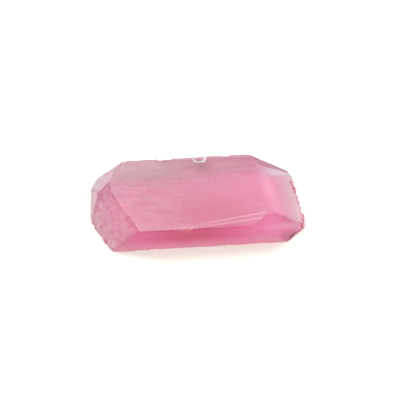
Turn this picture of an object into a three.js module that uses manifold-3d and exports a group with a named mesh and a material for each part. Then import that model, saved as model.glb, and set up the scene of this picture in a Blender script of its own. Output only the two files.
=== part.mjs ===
// A pre-shaped piece of morganite, the pink beryl: one crystal sawn flat on top and underneath, with steep
// long sides, sloping facets at both ends and a lower edge that is chipped all the way round.
// Millimetres, +Z up, +X along the stone, the front long side towards -Y. The stone lies on its sawn base.
import * as THREE from "three";
import { mergeVertices } from "three/addons/utils/BufferGeometryUtils.js";
import Module from "manifold-3d";

const wasm = await Module();
wasm.setup();

// Driving dimensions.
const HEIGHT = 4.4; // base to table
const BLANK = 40; // side of the block that the facets are sawn from, and of the saw's waste

// Each facet faces a compass angle in the plan (0 is +X, 90 is +Y), slopes down from the level by an angle,
// and meets the table's plane at a reach from the stone's axis.
const FACETS = [
  { name: "front", facing: -89.6, slope: 85.2, reach: 8.12 },
  { name: "back", facing: 90.5, slope: 87.4, reach: 4.8 },
  { name: "backRight", facing: 84.8, slope: 86.5, reach: 5.41 },
  { name: "leftBack", facing: 149.6, slope: 50.6, reach: 12.1 },
  { name: "leftRidge", facing: -176.1, slope: 38, reach: 13.34 },
  { name: "leftEnd", facing: 177.2, slope: 67.8, reach: 14.68 },
  { name: "leftFront", facing: -151.4, slope: 45, reach: 12.1 },
  { name: "rightFront", facing: -51.3, slope: 50.2, reach: 10.8 },
  { name: "rightEnd", facing: 9.2, slope: 38.9, reach: 9.17 },
  { name: "rightShoulder", facing: 8.9, slope: 20, reach: 8.75 },
  { name: "rightBack", facing: 26.5, slope: 39.9, reach: 9.16 },
  { name: "frontBevel", facing: -83, slope: 9, reach: 7.57 },
  { name: "polishStep", facing: -81.4, slope: 3, reach: 7.24 },
];

// The lower edge is a narrow, nearly upright band. Each stretch of it reaches this far at the base.
const BAND_SLOPE = 80;
const BAND = [
  { name: "bandLeft", facing: -161.8, baseReach: 16.56 },
  { name: "bandLeftFront", facing: -153.5, baseReach: 16.4 },
  { name: "bandFrontLeft", facing: -147.9, baseReach: 16.15 },
  { name: "bandFrontCorner", facing: -128.1, baseReach: 14.96 },
  { name: "bandRightFront", facing: -50, baseReach: 14.47 },
  { name: "bandNose", facing: -7.2, baseReach: 15.92 },
  { name: "bandRight", facing: 9.2, baseReach: 14.55 },
  { name: "bandRightBack", facing: 28.9, baseReach: 14 },
  { name: "bandBackCorner", facing: 79.5, baseReach: 6.8 },
];

const rad = THREE.MathUtils.degToRad;
const run = (slope) => HEIGHT / Math.tan(rad(slope));
const PLANES = [
  ...FACETS,
  ...BAND.map((b) => ({ ...b, slope: BAND_SLOPE, reach: b.baseReach - run(BAND_SLOPE) })),
];

// A closed three.js geometry, moved by a matrix, as a solid.
function solidOf(geometry, matrix = new THREE.Matrix4()) {
  const bare = geometry.clone().applyMatrix4(matrix);
  bare.deleteAttribute("normal");
  bare.deleteAttribute("uv");
  const merged = mergeVertices(bare, 1e-4);
  return new wasm.Manifold(
    new wasm.Mesh({
      numProp: 3,
      vertProperties: merged.attributes.position.array,
      triVerts: new Uint32Array(merged.index.array),
    }),
  );
}

function geometryOf(solid) {
  const { vertProperties, triVerts } = solid.getMesh();
  const geometry = new THREE.BufferGeometry();
  geometry.setAttribute("position", new THREE.BufferAttribute(vertProperties, 3));
  geometry.setIndex(new THREE.BufferAttribute(triVerts, 1));
  geometry.computeVertexNormals();
  return geometry;
}

const outward = ({ facing, slope }) => {
  const a = rad(facing);
  const s = rad(slope);
  return new THREE.Vector3(Math.cos(a) * Math.sin(s), Math.sin(a) * Math.sin(s), Math.cos(s));
};
const onPlane = ({ facing, reach }) =>
  new THREE.Vector3(Math.cos(rad(facing)) * reach, Math.sin(rad(facing)) * reach, HEIGHT);
const plane = (name) => PLANES.find((p) => p.name === name);

// Where two facets meet at a height: the corner of the outline there.
function corner(nameA, nameB, z) {
  const [a, b] = [plane(nameA), plane(nameB)];
  const [na, nb] = [outward(a), outward(b)];
  const da = na.dot(onPlane(a)) - na.z * z;
  const db = nb.dot(onPlane(b)) - nb.z * z;
  const det = na.x * nb.y - na.y * nb.x;
  return new THREE.Vector3((da * nb.y - db * na.y) / det, (na.x * db - nb.x * da) / det, z);
}

// The saw's waste beyond a facet: a block whose near face lies in the facet.
function waste(p) {
  const block = new THREE.Object3D();
  block.position.copy(onPlane(p)).addScaledVector(outward(p), BLANK / 2);
  block.rotation.set(0, rad(p.slope - 90), rad(p.facing), "ZYX");
  block.updateMatrix();
  return solidOf(new THREE.BoxGeometry(BLANK, BLANK, BLANK), block.matrix);
}

// A shell-shaped chip: a faceted ball, stretched to width along a direction, depth across it and a height.
function chip(at, along, width, depth, height, detail = 1) {
  const tool = new THREE.Object3D();
  tool.position.copy(at);
  tool.rotation.set(0, 0, along, "ZYX");
  tool.scale.set(width / 2, depth, height);
  tool.updateMatrix();
  return solidOf(new THREE.IcosahedronGeometry(1, detail), tool.matrix);
}

// A small repeatable generator, so that the chips are uneven but always the same.
function unevenness(seed) {
  let state = seed;
  return (low, high) => {
    state = (state * 16807) % 2147483647;
    return low + ((high - low) * state) / 2147483647;
  };
}

// Chips side by side along a stretch of edge, from one corner to the next.
function chipsAlong(from, to, { seed, pitch, width, depth, height }) {
  const uneven = unevenness(seed);
  const edge = new THREE.Vector3().subVectors(to, from);
  const count = Math.max(1, Math.round(edge.length() / pitch));
  const along = Math.atan2(edge.y, edge.x);
  return Array.from({ length: count }, (_, i) => {
    const share = (i + 0.5 + uneven(-0.3, 0.3)) / count;
    const at = from.clone().addScaledVector(edge, share);
    at.z += uneven(-0.1, 0.15);
    return chip(at, along, width * uneven(0.7, 1.3), depth * uneven(0.5, 1.35), height * uneven(0.6, 1.3));
  });
}

// The lower edge, stretch by stretch: where it runs, and how coarse its chips are.
const EDGE_Z = 0.1;
const COARSE = { pitch: 0.95, width: 1.0, depth: 0.26, height: 0.7 };
const DEEP = { pitch: 1.0, width: 1.1, depth: 0.32, height: 0.95 };
const FINE = { pitch: 0.75, width: 0.7, depth: 0.16, height: 0.45 };
const SPARSE = { pitch: 2.3, width: 0.8, depth: 0.13, height: 0.35 };
const STRETCHES = [
  { between: ["leftEnd", "bandLeft", "bandLeftFront"], seed: 11, size: COARSE },
  { between: ["bandLeft", "bandLeftFront", "bandFrontLeft"], seed: 23, size: DEEP },
  { between: ["bandLeftFront", "bandFrontLeft", "bandFrontCorner"], seed: 37, size: DEEP },
  { between: ["bandFrontLeft", "bandFrontCorner", "front"], seed: 41, size: FINE },
  { between: ["front", "bandRightFront", "bandNose"], seed: 53, size: FINE },
  { between: ["bandRightFront", "bandNose", "bandRight"], seed: 61, size: { ...COARSE, depth: 0.18 } },
  { between: ["bandNose", "bandRight", "bandRightBack"], seed: 73, size: FINE },
  { between: ["bandRight", "bandRightBack", "bandBackCorner"], seed: 83, size: FINE },
  { between: ["leftBack", "leftEnd", "bandLeft"], seed: 97, size: FINE },
  { between: ["back", "leftBack", "leftEnd"], seed: 103, size: FINE },
  { between: ["bandFrontCorner", "front", "bandRightFront"], seed: 113, size: SPARSE },
  { between: ["backRight", "back", "leftBack"], seed: 127, size: SPARSE },
  { between: ["bandBackCorner", "backRight", "back"], seed: 131, size: SPARSE },
];
const edgeChips = STRETCHES.flatMap(({ between: [before, here, after], seed, size }) =>
  chipsAlong(corner(before, here, EDGE_Z), corner(here, after, EDGE_Z), { seed, ...size }),
);

// Spalls side by side down the right end's thin edge, each at a distance along it and a reach from the axis.
const SPALLS = [
  { along: -0.4, reach: 14.05, width: 0.9 },
  { along: -1.5, reach: 14.15, width: 0.75 },
  { along: -2.15, reach: 14.3, width: 0.6 },
  { along: -3.1, reach: 14.4, width: 0.6 },
  { along: -4.3, reach: 14.35, width: 0.7 },
  { along: -5.4, reach: 14.35, width: 1.0 },
  { along: -7.35, reach: 14.05, width: 1.0 },
  { along: -8.3, reach: 13.75, width: 1.3 },
];
const SPALL_DEPTH = 0.32;
const rightEnd = plane("rightEnd");
const spalls = SPALLS.map(({ along, reach, width }) => {
  const point = onPlane({ ...rightEnd, reach });
  const across = rad(rightEnd.facing + 90);
  point.add(new THREE.Vector3(Math.cos(across) * along, Math.sin(across) * along, 0));
  point.z -= (reach - rightEnd.reach) * Math.tan(rad(rightEnd.slope));
  return chip(point, across, width, SPALL_DEPTH, SPALL_DEPTH);
});

// Single chips: a wide, shallow shell-shaped one on the table's back edge, and small nicks on the ridges.
const at = (x, y, z) => new THREE.Vector3(x, y, z);
const singleChips = [
  chip(at(0.22, 5, HEIGHT + 0.62), 0, 3.3, 2.3, 0.75, 4),
  chip(at(-5.5, 4.8, HEIGHT - 0.05), 0, 1.5, 0.3, 0.3),
  chip(at(-4.3, 4.8, HEIGHT), 0.1, 1.1, 0.25, 0.35),
  chip(at(-11.2, 4.65, HEIGHT), 0.6, 1.2, 0.15, 0.2),
  chip(at(4.1, 4.8, HEIGHT), 0, 1.3, 0.18, 0.25),
  chip(at(-3.1, -8.4, HEIGHT - 0.1), 0, 0.9, 0.22, 0.2),
  chip(at(-2.2, -8.4, HEIGHT - 0.15), 0.1, 0.8, 0.3, 0.22),
  chip(at(9.75, -2.8, HEIGHT), 1.5, 0.35, 0.2, 0.12),
  chip(at(-14.9, -0.6, 3.25), 1.1, 0.6, 0.2, 0.2),
];

// The stone: the block from base to table, less the saw's waste, less the chips.
const block = new THREE.Matrix4().makeTranslation(0, 0, HEIGHT / 2);
let stone = solidOf(new THREE.BoxGeometry(BLANK, BLANK, HEIGHT), block);
for (const p of PLANES) stone = stone.subtract(waste(p));
for (const c of [...edgeChips, ...spalls, ...singleChips]) stone = stone.subtract(c);

// A crumb that two chips set free between them falls off.
[stone] = stone.decompose().sort((a, b) => b.volume() - a.volume());

// The origin is under the middle of the stone, on its base.
const geometry = geometryOf(stone);
geometry.computeBoundingBox();
const middle = geometry.boundingBox.getCenter(new THREE.Vector3());

const morganite = new THREE.MeshStandardMaterial({
  color: 0xdf8da0,
  roughness: 0.45,
  metalness: 0,
  flatShading: true,
});
const mesh = new THREE.Mesh(geometry, morganite);
mesh.name = "stone";
mesh.position.set(-middle.x, -middle.y, -geometry.boundingBox.min.z);

const root = new THREE.Group();
root.add(mesh);
export default root;
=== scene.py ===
import math

import bmesh
import bpy
import numpy as np
from mathutils import Matrix, Vector, noise
from mathutils.bvhtree import BVHTree


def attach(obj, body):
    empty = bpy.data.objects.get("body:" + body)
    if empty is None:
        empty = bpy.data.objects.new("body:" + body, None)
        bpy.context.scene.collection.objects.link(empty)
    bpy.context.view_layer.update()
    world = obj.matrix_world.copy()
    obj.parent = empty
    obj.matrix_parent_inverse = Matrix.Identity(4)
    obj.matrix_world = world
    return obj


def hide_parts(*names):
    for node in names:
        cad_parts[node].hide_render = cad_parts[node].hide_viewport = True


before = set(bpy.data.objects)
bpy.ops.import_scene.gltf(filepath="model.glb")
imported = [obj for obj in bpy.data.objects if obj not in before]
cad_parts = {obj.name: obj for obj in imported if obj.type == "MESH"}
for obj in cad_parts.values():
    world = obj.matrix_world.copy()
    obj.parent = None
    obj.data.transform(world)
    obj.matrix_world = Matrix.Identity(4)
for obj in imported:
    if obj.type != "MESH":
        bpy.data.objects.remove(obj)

scene = bpy.context.scene
MM = 0.001
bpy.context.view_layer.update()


# Camera: a long lens well back from the stone, looking down on its long front side. It aims at the stone's
# axis, the line up from its base that its facets are measured from, a little off the middle of the outline.
CAMERA_AZIMUTH = math.radians(-3.6)
CAMERA_ELEVATION = math.radians(55)
CAMERA_DISTANCE = 350 * MM
VIEW_WIDTH = 60 * MM
AXIS = Vector((0.594, 1.761, 0)) * MM
SENSOR = 36


def direction(azimuth, elevation):
    """From the stone towards a camera or lamp: azimuth 0 stands in front of it, 90 to its right."""
    level = math.cos(elevation)
    return Vector((math.sin(azimuth) * level, -math.cos(azimuth) * level, math.sin(elevation)))


def stand(obj, target, azimuth, elevation, distance):
    """Put a camera or lamp at a distance from its target, facing it."""
    away = direction(azimuth, elevation)
    obj.location = target + away * distance
    obj.rotation_euler = away.to_track_quat("Z", "Y").to_euler()
    scene.collection.objects.link(obj)


camera_data = bpy.data.cameras.new("camera")
camera_data.sensor_width = SENSOR
camera_data.lens = SENSOR * CAMERA_DISTANCE / VIEW_WIDTH
camera_data.clip_start = 0.01
camera = bpy.data.objects.new("camera", camera_data)
stand(camera, AXIS, CAMERA_AZIMUTH, CAMERA_ELEVATION, CAMERA_DISTANCE)
scene.camera = camera


# The stone: one crystal of pink beryl, sawn flat above and below and ground to sloping facets at its ends.
# Its skin is remade in fine mesh over the solid: ridges a little worn and nicked, the lower edge broken.
GRAIN = 0.115  # mm, side of the fine mesh's squares
LEAST_FACET = 0.25  # mm2, the smallest triangle that can be the largest of a facet
CLOSE = 0.01  # mm, corners of the fine mesh nearer than this are one
WELD = 0.001  # mm, corners of the solid nearer than this are one
SAME_WAY = math.cos(math.radians(1.5))  # facets that face alike within this angle may be one
SAME_PLANE = 0.02  # mm, and are one when their planes lie this near
RIDGE_ANGLE = math.radians(25)  # facets that meet at less than this make no ridge, only a soft step
WEAR_REACH = 0.2  # mm either side of a ridge
NO_RIDGE = 1  # mm, the distance given where no ridge or step is near
WEAR_DEPTH = 0.08  # mm at the most
WEAR_GRAIN = 0.45  # mm, the length of a worn stretch
NICK_DEPTH = 0.08  # mm, on top of the wear
NICK_GRAIN = 0.3  # mm
NICKED = (0.62, 0.8)  # the unevenness at which a nick starts, and at which it is deepest
CHIP_DEPTHS = (0.015, 0.07)  # mm under the facet's plane: not yet broken, and quite broken
BREAK_TOP = (-3.0, -2.0)  # mm down: higher than the first, chips are only shallow scoops
FRONT_BREAK = 0.15  # the front side's nicks are shallow and pale
SPLINTER_DEPTH = 0.06  # mm, the roughness of the broken lower edge
SPLINTER_GRAIN = 0.3  # mm
SPLINTERED = 0.3  # how far broken the skin is where it starts to splinter

# Facets that share a finish, each by the compass angle that it faces (0 is +X, 90 is +Y) and its slope.
FINISHES = {
    "top": [(0, 0), (-83, 9), (-81.4, 3)],
    "bevel": [(-83, 9), (-81.4, 3)],
    "front": [(-89.6, 85.2)],
    "right_front": [(-51.3, 50.2)],
    "right": [(9.2, 38.9)],
    "shoulder": [(8.9, 20)],
    "left_front": [(-151.4, 45)],
    "left_ridge": [(-176.1, 38)],
    "left_back": [(149.6, 50.6)],
    "left_end": [(177.2, 67.8)],
    "back": [(90.5, 87.4), (84.8, 86.5), (26.5, 39.9)],
    "base": [(0, 180)],
    "edge": [(compass, 80) for compass in (-161.8, -153.5, -147.9, -128.1, -50, -7.2, 9.2, 28.9, 79.5)],
}


def read(items, name, width):
    values = np.empty(len(items) * width)
    items.foreach_get(name, values)
    return values.reshape(-1, width)


def facing(compass, slope):
    a = math.radians(compass)
    s = math.radians(slope)
    return np.array((math.cos(a) * math.sin(s), math.sin(a) * math.sin(s), math.cos(s)))


def smoothstep(values, low, high):
    t = np.clip((values - low) / (high - low), 0, 1)
    return t * t * (3 - 2 * t)


def unevenness(points, grain, seed):
    """Smooth noise from 0 to 1 at each point, with lumps about a grain across."""
    shift = Vector((seed, 2 * seed, 3 * seed))
    return np.array([noise.noise(Vector(p) / grain + shift) for p in points]) / 2 + 0.5


# The solid's facets: the planes of its largest triangles.
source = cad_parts["stone"].data
triangle_normals = read(source.polygons, "normal", 3)
triangle_offsets = (triangle_normals * read(source.polygons, "center", 3)).sum(1) / MM
triangle_areas = read(source.polygons, "area", 1)[:, 0] / MM**2
normals = np.empty((0, 3))
offsets = np.empty(0)
for t in np.argsort(-triangle_areas):
    if triangle_areas[t] < LEAST_FACET:
        break
    alike = (normals @ triangle_normals[t] > SAME_WAY) & (abs(offsets - triangle_offsets[t]) < SAME_PLANE)
    if not alike.any():
        normals = np.vstack((normals, triangle_normals[t]))
        offsets = np.append(offsets, triangle_offsets[t])

# The fine mesh: even squares all over, each corner laid on the solid. Millimetres while it is worked on.
mesh = source.copy()
mesh.name = "stone_skin"
mesh.transform(Matrix.Scale(1 / MM, 4))
solid = BVHTree.FromPolygons([v.co for v in mesh.vertices], [p.vertices for p in mesh.polygons])
stone = bpy.data.objects.new("stone_skin", mesh)
scene.collection.objects.link(stone)
bpy.context.view_layer.objects.active = stone
weld = stone.modifiers.new("weld", "WELD")
weld.merge_threshold = WELD
remesh = stone.modifiers.new("remesh", "REMESH")
remesh.mode = "VOXEL"
remesh.voxel_size = GRAIN
for modifier in (weld, remesh):
    bpy.ops.object.modifier_apply(modifier=modifier.name)
# Where thin edges fold the squares flat, their corners are joined and what has no face is cleared away.
skin_mesh = bmesh.new()
skin_mesh.from_mesh(stone.data)
for v in skin_mesh.verts:
    v.co = solid.find_nearest(v.co)[0]
bmesh.ops.triangulate(skin_mesh, faces=skin_mesh.faces)
bmesh.ops.remove_doubles(skin_mesh, verts=skin_mesh.verts, dist=CLOSE)
bmesh.ops.dissolve_degenerate(skin_mesh, edges=skin_mesh.edges, dist=CLOSE)
folded = [e for e in skin_mesh.edges if len(e.link_faces) > 2]
bmesh.ops.collapse(skin_mesh, edges=folded)
for parts, kind in ((skin_mesh.edges, "EDGES"), (skin_mesh.verts, "VERTS")):
    bare = [part for part in parts if not part.link_faces]
    bmesh.ops.delete(skin_mesh, geom=bare, context=kind)
skin_mesh.to_mesh(stone.data)
skin_mesh.free()
points = read(stone.data.vertices, "co", 3)

# How deep each point lies under its facet's plane, and how far it is from the ridge with the next facet.
depths = offsets - points @ normals.T
order = np.argsort(depths, axis=1)
own, other = order[:, 0], order[:, 1]
rows = np.arange(len(points))
sunk = depths[rows, own]
cosine = (normals[own] * normals[other]).sum(1)
sine = np.sqrt(np.maximum(1 - cosine**2, 1e-6))
to_next = depths[rows, other] / sine
sharp = sine > math.sin(RIDGE_ANGLE)
finished = {}
for name, facets in FINISHES.items():
    ways = np.array([facing(*f) for f in facets])
    finished[name] = (normals @ ways.T > SAME_WAY).any(1)
masks = {name: planes[own].astype(float) for name, planes in finished.items()}
broken = np.maximum(smoothstep(sunk, *CHIP_DEPTHS), masks["edge"])
broken *= smoothstep(-points[:, 2], *BREAK_TOP) * np.where(finished["front"][own], FRONT_BREAK, 1)
near = smoothstep(-to_next, -WEAR_REACH, 0) * (1 - broken) * sharp
masks["broken"] = broken
faint = finished["front"] | finished["right_front"]
masks["off_ridge"] = np.where(sharp & ~(faint[own] & faint[other]), to_next, NO_RIDGE)
masks["off_step"] = np.where(finished["top"][own] & finished["top"][other], to_next, NO_RIDGE)

# Points beside a ridge move on to it, so that it runs straight. The ridges wear and the break splinters.
on_ridge = (to_next < GRAIN / 2) & (near > 0)
gap = (depths[rows, other] - cosine * sunk) / sine**2
points[on_ridge] += (normals[other] - cosine[:, None] * normals[own])[on_ridge] * gap[on_ridge, None]
worn = np.flatnonzero(near > 0)
inward = -(normals[own[worn]] + normals[other[worn]])
inward /= np.linalg.norm(inward, axis=1)[:, None]
wear = WEAR_DEPTH * unevenness(points[worn], WEAR_GRAIN, seed=1) ** 2
wear += NICK_DEPTH * smoothstep(unevenness(points[worn], NICK_GRAIN, seed=5), *NICKED)
points[worn] += inward * (wear * near[worn])[:, None]
split = np.flatnonzero((broken > SPLINTERED) & (points[:, 2] > GRAIN))
splinter = SPLINTER_DEPTH * broken[split] * unevenness(points[split], SPLINTER_GRAIN, seed=9)
points[split] -= normals[own[split]] * splinter[:, None]
stone.data.vertices.foreach_set("co", points.ravel())

# The finish reads at each point which facet it is on, and how near a ridge, a step or a break.
for name, values in masks.items():
    stone.data.attributes.new(name, "FLOAT", "POINT").data.foreach_set("value", values)
stone.data.transform(Matrix.Scale(MM, 4))
stone.data.shade_smooth()
stone.data.set_sharp_from_angle(angle=RIDGE_ANGLE)
stone.data.update()


# Pink beryl, the stone's own material: clear inside, with a pink that deepens with the way that light takes
# through it. The saw and the grinding left the skin frosted, so that only soft colour shows through.
beryl = bpy.data.materials.new("pink_beryl")
beryl.use_nodes = True
tree = beryl.node_tree
tree.nodes.clear()


def add(kind, inputs, **settings):
    """Add a node to the tree in hand; an input is a value or another node's output."""
    made = tree.nodes.new("ShaderNode" + kind)
    for name, value in settings.items():
        setattr(made, name, value)
    for key, value in inputs.items():
        if isinstance(value, bpy.types.NodeSocket):
            tree.links.new(value, made.inputs[key])
        else:
            made.inputs[key].default_value = value
    return made


def maths(operation, a, b):
    return add("Math", {0: a, 1: b}, operation=operation).outputs[0]


def times(*values):
    total = values[0]
    for value in values[1:]:
        total = maths("MULTIPLY", total, value)
    return total


def rise(value, low, high, least=0.0, most=1.0):
    """A smooth rise from least to most as the value goes from low to high, level outside."""
    steps = {"Value": value, "From Min": low, "From Max": high, "To Min": least, "To Max": most}
    return add("MapRange", steps, interpolation_type="SMOOTHSTEP").outputs["Result"]


def blend(share, under, over):
    inputs = {"Factor": share, 6: under, 7: over}
    return add("Mix", inputs, data_type="RGBA").outputs[2]


def tinted(share, colour, under):
    inputs = {"Factor": share, 6: under, 7: colour}
    return add("Mix", inputs, data_type="RGBA", blend_type="MULTIPLY").outputs[2]


def mask(name):
    return add("Attribute", {}, attribute_name=name).outputs["Fac"]


def lumps(vector, scale, detail=2.0, roughness=0.5):
    inputs = {"Vector": vector, "Scale": scale, "Detail": detail, "Roughness": roughness}
    return add("TexNoise", inputs).outputs["Fac"]


def stretched(vector, scale):
    return add("VectorMath", {0: vector, 1: scale}, operation="MULTIPLY").outputs[0]


def hill(at, centre, half_width):
    """1 at a place along one axis, falling smoothly to 0 at the half width either side."""
    off = maths("ABSOLUTE", maths("SUBTRACT", at, centre), 0.0)
    return rise(off, 0.0, half_width, 1.0, 0.0)


def most(*values):
    total = values[0]
    for value in values[1:]:
        total = maths("MAXIMUM", total, value)
    return total


def lean(along, across, slope):
    """A coordinate that is level along a slanting line."""
    return maths("SUBTRACT", across, times(along, slope))


in_scene = add("TexCoord", {}).outputs["Object"]
from_axis = add("VectorMath", {0: in_scene, 1: AXIS}, operation="SUBTRACT").outputs[0]
place = stretched(from_axis, (1 / MM,) * 3)
axes = add("SeparateXYZ", {"Vector": place})
x, y, z = (axes.outputs[i] for i in range(3))


def from_centre(centre_x, centre_y, half_length, half_width, squareness):
    """0 at a middle and 1 on the outline round it: an oval at a squareness of 2, past it a rounded box."""
    along = maths("ABSOLUTE", times(maths("SUBTRACT", x, centre_x), 1 / half_length), 0.0)
    across = maths("ABSOLUTE", times(maths("SUBTRACT", y, centre_y), 1 / half_width), 0.0)
    total = maths("ADD", maths("POWER", along, squareness), maths("POWER", across, squareness))
    return maths("POWER", total, 1 / squareness)


RIGHT_WAY = (0.987, 0.16)  # the way that the right end faces, seen from above
reach = maths("ADD", times(x, RIGHT_WAY[0]), times(y, RIGHT_WAY[1]))
top, front, right, right_front = mask("top"), mask("front"), mask("right"), mask("right_front")
left_front, left_back = mask("left_front"), mask("left_back")
off_ridge, broken_mask = mask("off_ridge"), mask("broken")
grind = lumps(place, 1.3, 4.0, 0.65)
patches = lumps(place, 1.4, 3.0, 0.55)
tooth = lumps(place, 4.0, 3.0)

# The table: rosier to the left and nearer magenta to the right, with a deeper heart near the front edge, a
# grey veil of painted sheen along the far one, and a duller band before the veil at the left. Painted shade
# dims it in the hollows of the far edge and before the scoop there.
TABLE_LEFT = (0.86, 0.98, 0.90, 1)
TABLE_RIGHT = (0.94, 0.87, 0.94, 1)
TABLE_HEART = (0.80, 0.66, 0.68, 1)
TABLE_FAR_SHEEN = (0.83, 0.97, 0.86, 1)
TABLE_FAR_RIGHT_SHEEN = (0.88, 0.95, 0.90, 1)
BEVEL_FOOT = (1.00, 0.72, 0.90, 1)
FAR_SHADE = (0.80, 0.86, 0.83, 1)
HOLLOW_SHADE = (0.84, 0.70, 0.78, 1)
SCOOP_SHADE = (0.67, 0.75, 0.72, 1)
tone = blend(rise(x, -8.6, 8.4), TABLE_LEFT, TABLE_RIGHT)
tone = blend(times(top, hill(x, 2.0, 9.5), hill(y, -5.7, 5.5)), tone, TABLE_HEART)
# The grey veil along the far edge is painted sheen from the light behind.
far_sheen_tone = blend(rise(x, -4.6, 3.4), TABLE_FAR_SHEEN, TABLE_FAR_RIGHT_SHEEN)
tone = blend(times(top, rise(y, -0.3, 2.4), rise(x, 8.4, 4.4)), tone, far_sheen_tone)
tone = tinted(times(mask("bevel"), rise(y, -7.4, -8.0), hill(x, 4.6, 5.5)), BEVEL_FOOT, tone)
tone = tinted(times(top, rise(x, -1.6, -6.0), hill(y, 1.7, 2.6)), FAR_SHADE, tone)
# Painted shade in the hollows of the far edge.
tone = tinted(times(top, hill(x, -4.7, 2.1), rise(y, 2.9, 4.3)), HOLLOW_SHADE, tone)
# Painted shade before the scoop at the far edge.
tone = tinted(times(top, hill(x, 0.35, 2.0), hill(y, 3.0, 2.1)), SCOOP_SHADE, tone)

# The front side: painted shade makes it deepest rose in its middle and under its upper edge; it is paler
# along its foot.
FRONT_LEFT = (0.87, 0.53, 0.85, 1)
FRONT_RIGHT = (0.90, 0.56, 0.92, 1)
FRONT_SHADE = (0.63, 0.22, 0.36, 1)
FRONT_FOOT = (1.00, 1.00, 1.00, 1)
front_tone = blend(hill(x, -1.8, 9.0), blend(rise(x, -2.6, 1.4), FRONT_LEFT, FRONT_RIGHT), FRONT_SHADE)
tone = blend(front, tone, blend(rise(z, 2.6, 0.3), front_tone, FRONT_FOOT))

# The facet to the right of it: duller to the right, with a painted glow across its middle and a dark foot.
RIGHT_FRONT = (0.86, 0.66, 0.89, 1)
RIGHT_FRONT_FAR = (0.83, 0.47, 0.68, 1)
RIGHT_FRONT_PAINTED_GLOW = (1.00, 0.88, 1.00, 1)
RIGHT_FRONT_FOOT = (0.65, 0.36, 0.47, 1)
up_side = lean(x, z, -0.46)
side = blend(rise(x, 10.8, 12.2), RIGHT_FRONT, RIGHT_FRONT_FAR)
side = blend(times(hill(up_side, 7.5, 0.6), rise(x, 8.6, 10.2)), side, RIGHT_FRONT_PAINTED_GLOW)
side = blend(times(rise(up_side, 7.2, 6.3), rise(x, 10.7, 12.2)), side, RIGHT_FRONT_FOOT)
tone = blend(right_front, tone, side)

# The right end: a bright shoulder, then pink that pales towards the broken edge; in the coat further down,
# a painted glow adds to the shoulder and painted light to the paling.
SHOULDER = (0.98, 0.86, 1.00, 1)
RIGHT_NEAR = (0.97, 0.90, 1.00, 1)
RIGHT_FAR = (1.00, 0.99, 1.00, 1)
tone = blend(mask("shoulder"), tone, SHOULDER)
tone = blend(right, tone, blend(rise(x, 10.4, 14.4), RIGHT_NEAR, RIGHT_FAR))
tone = blend(times(right, hill(reach, 9.5, 1.3)), tone, SHOULDER)

# The left end and the back.
LEFT_FRONT = (0.94, 1.00, 0.97, 1)
LEFT_RIDGE = (0.81, 0.67, 0.71, 1)
LEFT_BACK = (0.72, 1.00, 1.00, 1)
LEFT_END = (0.82, 1.00, 1.00, 1)
BACK = (0.65, 0.43, 0.61, 1)
tone = blend(left_front, tone, LEFT_FRONT)
tone = blend(mask("left_ridge"), tone, LEFT_RIDGE)
tone = blend(left_back, tone, LEFT_BACK)
tone = blend(mask("left_end"), tone, LEFT_END)
tone = blend(mask("back"), tone, BACK)

# Short fine saw lines over the table's left part, a mottled grind on the left end, a fine tooth all over.
SAW_TINT = (0.92, 0.74, 0.84, 1)
GRIND_TINT = (0.94, 0.66, 0.78, 1)
VEIL_SHEEN_TINT = (0.92, 0.88, 0.91, 1)
SAW_PITCH = 0.37  # mm from one line to the next
across_saw = lean(x, y, -0.06)
sawn = add("CombineXYZ", {0: times(x, 0.35), 1: times(across_saw, 2.5), 2: z}).outputs[0]
strokes = lumps(sawn, 1.0, 0.0)
lines = maths("SINE", maths("ADD", times(across_saw, math.tau / SAW_PITCH), times(grind, 7.0)), 0.0)
saw = times(rise(lines, -1.0, 1.0), rise(strokes, 0.36, 0.6))
saw_zone = times(top, rise(x, -13.6, -10.6), rise(x, 3.4, -4.6), rise(y, -8.3, -5.3), rise(y, 1.9, -0.8))
ground = most(left_front, left_back)
tone = tinted(times(saw_zone, saw), SAW_TINT, tone)
tone = tinted(times(rise(patches, 0.38, 0.66), rise(ground, 0.0, 1.0, 0.15, 1.0)), GRIND_TINT, tone)
tone = tinted(rise(tooth, 0.4, 0.65, 0.0, 0.7), GRIND_TINT, tone)
# Streaks of painted sheen along the table's far part.
sheen_streaks = lumps(stretched(place, (0.3, 1.5, 1.0)), 1.0, 3.0, 0.6)
tone = tinted(times(top, rise(y, -0.6, 1.8), rise(sheen_streaks, 0.45, 0.62)), VEIL_SHEEN_TINT, tone)

# Painted shade deepens the pink under a ridge, most of all on the ridge itself and in the nick of the left
# end.
# The pink is deepest where the edge is broken. A dark brown patch sits on the foot at the right front
# corner.
RIDGE_SHADE = (0.85, 0.55, 0.68, 1)
CREST_SHADE = (0.62, 0.30, 0.44, 1)
BREAK = (0.94, 0.12, 0.42, 1)
DEEP_BREAK = (0.76, 0.02, 0.16, 1)
BROWN_PATCH = (0.25, 0.14, 0.12, 1)
ridge_lee_shade = times(rise(off_ridge, 0.9, 0.05, 0.0, 0.4), rise(top, 0.0, 1.0, 1.0, 0.0))
tone = tinted(ridge_lee_shade, RIDGE_SHADE, tone)
ridge_line_shade = times(rise(off_ridge, 0.2, 0.05), rise(z, 3.6, 4.2, 0.35, 1.0), rise(y, -8.0, -7.4, 0.4, 1.0))
tone = tinted(times(ridge_line_shade, rise(hill(x, 9.3, 1.6), 0.0, 0.6, 1.0, 0.3)), CREST_SHADE, tone)
tone = tinted(times(hill(x, -14.9, 0.6), hill(y, -0.6, 0.6), rise(z, 2.4, 2.8)), CREST_SHADE, tone)
tone = tinted(broken_mask, blend(rise(grind, 0.42, 0.56), BREAK, DEEP_BREAK), tone)
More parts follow.
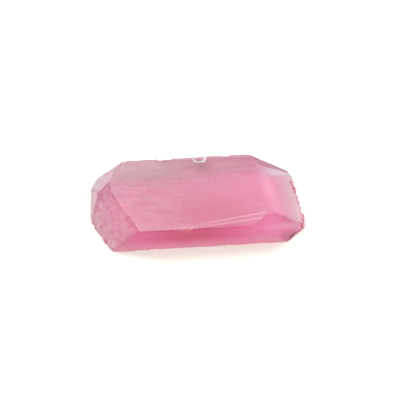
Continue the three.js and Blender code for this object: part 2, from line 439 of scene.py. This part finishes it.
# The ridge shade's pink also darkens the left front facet towards its foot.
tone = tinted(times(left_front, rise(z, 0.95, 0.6, 0.0, 0.6)), RIDGE_SHADE, tone)
low_spots = times(left_front, rise(z, 0.8, 0.4), rise(patches, 0.52, 0.62))
tone = tinted(low_spots, BREAK, tone)
BROWN_PATCH_WAY = (0.79, 0.61)  # along the foot there, seen from above
BROWN_PATCH_PLACE = 5.95  # mm along it
along_foot = maths("ADD", times(x, BROWN_PATCH_WAY[0]), times(y, BROWN_PATCH_WAY[1]))
along_foot = maths("ABSOLUTE", maths("SUBTRACT", along_foot, BROWN_PATCH_PLACE), 0.0)
brown_patch = times(most(mask("edge"), right_front), rise(along_foot, 0.85, 0.45), rise(z, 0.6, 0.35))
tone = tinted(brown_patch, BROWN_PATCH, tone)
thin_edge = times(right, rise(maths("ADD", z, times(patches, 0.9)), 0.95, 0.8), rise(y, 2.2, 1.4))
tone = tinted(thin_edge, BREAK, tone)
tone = blend(mask("base"), tone, (1, 1, 1, 1))

# Where the skin is crushed or dry it scatters white, as chalk on it would: in patches of the left end, in
# flecks
# by the front edge, in dust over the table and in crumbs on the right end. The same white coat paints
# light:
# painted sheen along the far edge and on the left end, painted highlights on the steps beside the front
# edge, on the far right corner and most on the rim of the scoop at the back, which is partly crushed,
# painted light on the front side's ends and foot and towards the right end's edge, and a painted glow on
# the right shoulder.
far_left_sheen = times(top, rise(x, 1.0, -8.6), rise(y, -0.6, 3.4), 0.2)
back_rim_sheen = times(top, rise(y, 3.2, 3.8), rise(off_ridge, 0.7, 0.1), 0.2)
right_end = most(top, mask("shoulder"), right)
shoulder_glow = times(right_end, hill(reach, 9.6, 1.4), rise(y, -4.6, -0.4, 0.12, 0.3))
right_pale_light = times(right, rise(reach, 10.6, 14.4, 0.0, 0.17))
far_corner_glint = times(right_end, rise(lean(x, y, 0.555), -4.6, -3.8), rise(x, 8.4, 11.6), 0.8)
front_ends = most(rise(x, 4.4, 8.4, 0.0, 0.18), rise(x, -8.4, -12.4, 0.0, 0.1))
front_pale_light = times(front, most(front_ends, rise(z, 1.5, 0.2, 0.0, 0.26)))
step_highlight = times(rise(mask("off_step"), 0.11, 0.04), rise(x, -3.6, 4.4, 0.14, 0.52))
crumbled = rise(lumps(place, 2.0, 2.0), 0.5, 0.57)
flecks = times(most(top, front), hill(x, -2.4, 1.8), hill(y, -8.05, 0.8), rise(z, 3.7, 4.0), crumbled)
off_rim = maths("ABSOLUTE", maths("SUBTRACT", from_centre(0.17, 4.75, 0.88, 0.88, 3.0), 1.0), 0.0)
crushed_rim_and_glint = times(top, rise(off_rim, 0.22, 0.12), 0.8)
end_sheen = times(mask("left_end"), 0.2)
specks = add("TexVoronoi", {"Vector": place, "Scale": 0.45}).outputs["Distance"]
dust = times(top, rise(specks, 0.1, 0.05), 0.4)
crumbs = times(right, rise(reach, 12.9, 13.6), rise(y, -1.3, -2.8), rise(tooth, 0.5, 0.57), 0.8)
ground_patches = times(ground, rise(patches, 0.6, 0.36), rise(z, 1.8, 0.6, 0.17, 0.26))
GLINT_TINT = (0.25, 0.90, 1.00, 1)
# The painted highlights on the scoop's rim and the far right corner are tinted cyan-white in the base
# colour as well.
tone = tinted(crushed_rim_and_glint, GLINT_TINT, tone)
tone = tinted(times(far_corner_glint, 0.5), GLINT_TINT, tone)
table_chalk_and_light = most(far_left_sheen, back_rim_sheen, far_corner_glint, step_highlight, crushed_rim_and_glint, dust)
side_chalk_and_light = most(front_pale_light, flecks, right_pale_light, crumbs, ground_patches, end_sheen)
chalk_and_light = most(table_chalk_and_light, side_chalk_and_light, shoulder_glow)

# The skin is frosted where it was sawn or ground and cleaner where it broke. Light goes through it and
# takes on the pink in the depth of the stone. The white of the chalk and of the painted light lies over it
# as a dull coat.
FROSTED = (0.32, 0.40)
CLEAN = 0.15
TOOTH_DEPTH = 0.03 * MM
BERYL_IOR = 1.58
THROUGH = 0.88  # the share of the light that goes through
COAT_ROUGHNESS = 0.6
COAT_IOR = 4.0  # far above any crystal's, so that the coat scatters much of the light back
PINK = (0.985, 0.1, 0.58, 1)
PINK_DENSITY = 190.0
roughness = rise(grind, 0.3, 0.7, *FROSTED)
roughness = add("Mix", {"Factor": broken_mask, 2: roughness, 3: CLEAN}, data_type="FLOAT").outputs[0]
height = maths("ADD", times(saw, saw_zone, 0.25), times(tooth, 0.35))
bump = add("Bump", {"Strength": 0.5, "Distance": TOOTH_DEPTH, "Height": height}).outputs["Normal"]

skin = add("BsdfPrincipled", {"Base Color": tone, "Roughness": roughness, "Normal": bump})
skin.inputs["IOR"].default_value = BERYL_IOR
skin.inputs["Transmission Weight"].default_value = THROUGH
tree.links.new(chalk_and_light, skin.inputs["Coat Weight"])
skin.inputs["Coat Roughness"].default_value = COAT_ROUGHNESS
skin.inputs["Coat IOR"].default_value = COAT_IOR
depth = add("VolumeAbsorption", {"Color": PINK, "Density": PINK_DENSITY})
add("OutputMaterial", {"Surface": skin.outputs["BSDF"], "Volume": depth.outputs["Volume"]})
stone.data.materials.clear()
stone.data.materials.append(beryl)

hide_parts("stone")
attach(stone, "root")


# The floor: a plain white sheet, lit brighter than the film can hold, so that only the shadow shows on it.
FLOOR_SIDE = 3.0
FLOOR_GAP = 0.02 * MM
PAPER = (0.795, 0.765, 0.70, 1)
PAPER_ROUGHNESS = 0.9
floor_mesh = bpy.data.meshes.new("floor")
half = FLOOR_SIDE / 2
floor_corners = [(sx * half, sy * half, -FLOOR_GAP) for sx, sy in ((-1, -1), (1, -1), (1, 1), (-1, 1))]
floor_mesh.from_pydata(floor_corners, [], [(0, 1, 2, 3)])
floor = bpy.data.objects.new("floor", floor_mesh)
scene.collection.objects.link(floor)
paper = bpy.data.materials.new("white_paper")
paper.use_nodes = True
paper_skin = paper.node_tree.nodes["Principled BSDF"]
paper_skin.inputs["Base Color"].default_value = PAPER
paper_skin.inputs["Roughness"].default_value = PAPER_ROUGHNESS
paper_skin.inputs["Specular IOR Level"].default_value = 0
floor_mesh.materials.append(paper)


# The light: a white room, one large soft lamp high behind the stone's left end, and a weaker one, a little
# lower, at its right.
ROOM = 0.93
LAMP_SIZE = 0.3
LAMP_DISTANCE = 0.5
LAMPS = {"softbox": (225, 45, 2.6), "fill": (80, 36, 1.2)}  # azimuth, elevation and watts
BOUNCES = 24  # enough for light to find its way out of the stone
FLOOR_BOUNCES = 6

world = bpy.data.worlds.new("room")
world.use_nodes = True
world.node_tree.nodes["Background"].inputs["Color"].default_value = (1, 1, 1, 1)
world.node_tree.nodes["Background"].inputs["Strength"].default_value = ROOM
scene.world = world
for name, (azimuth, elevation, energy) in LAMPS.items():
    lamp_data = bpy.data.lights.new(name, "AREA")
    lamp_data.shape = "DISK"
    lamp_data.size = LAMP_SIZE
    lamp_data.energy = energy
    lamp = bpy.data.objects.new(name, lamp_data)
    stand(lamp, Vector(), math.radians(azimuth), math.radians(elevation), LAMP_DISTANCE)

scene.view_settings.view_transform = "Standard"
scene.cycles.max_bounces = BOUNCES
scene.cycles.transmission_bounces = BOUNCES
scene.cycles.diffuse_bounces = FLOOR_BOUNCES
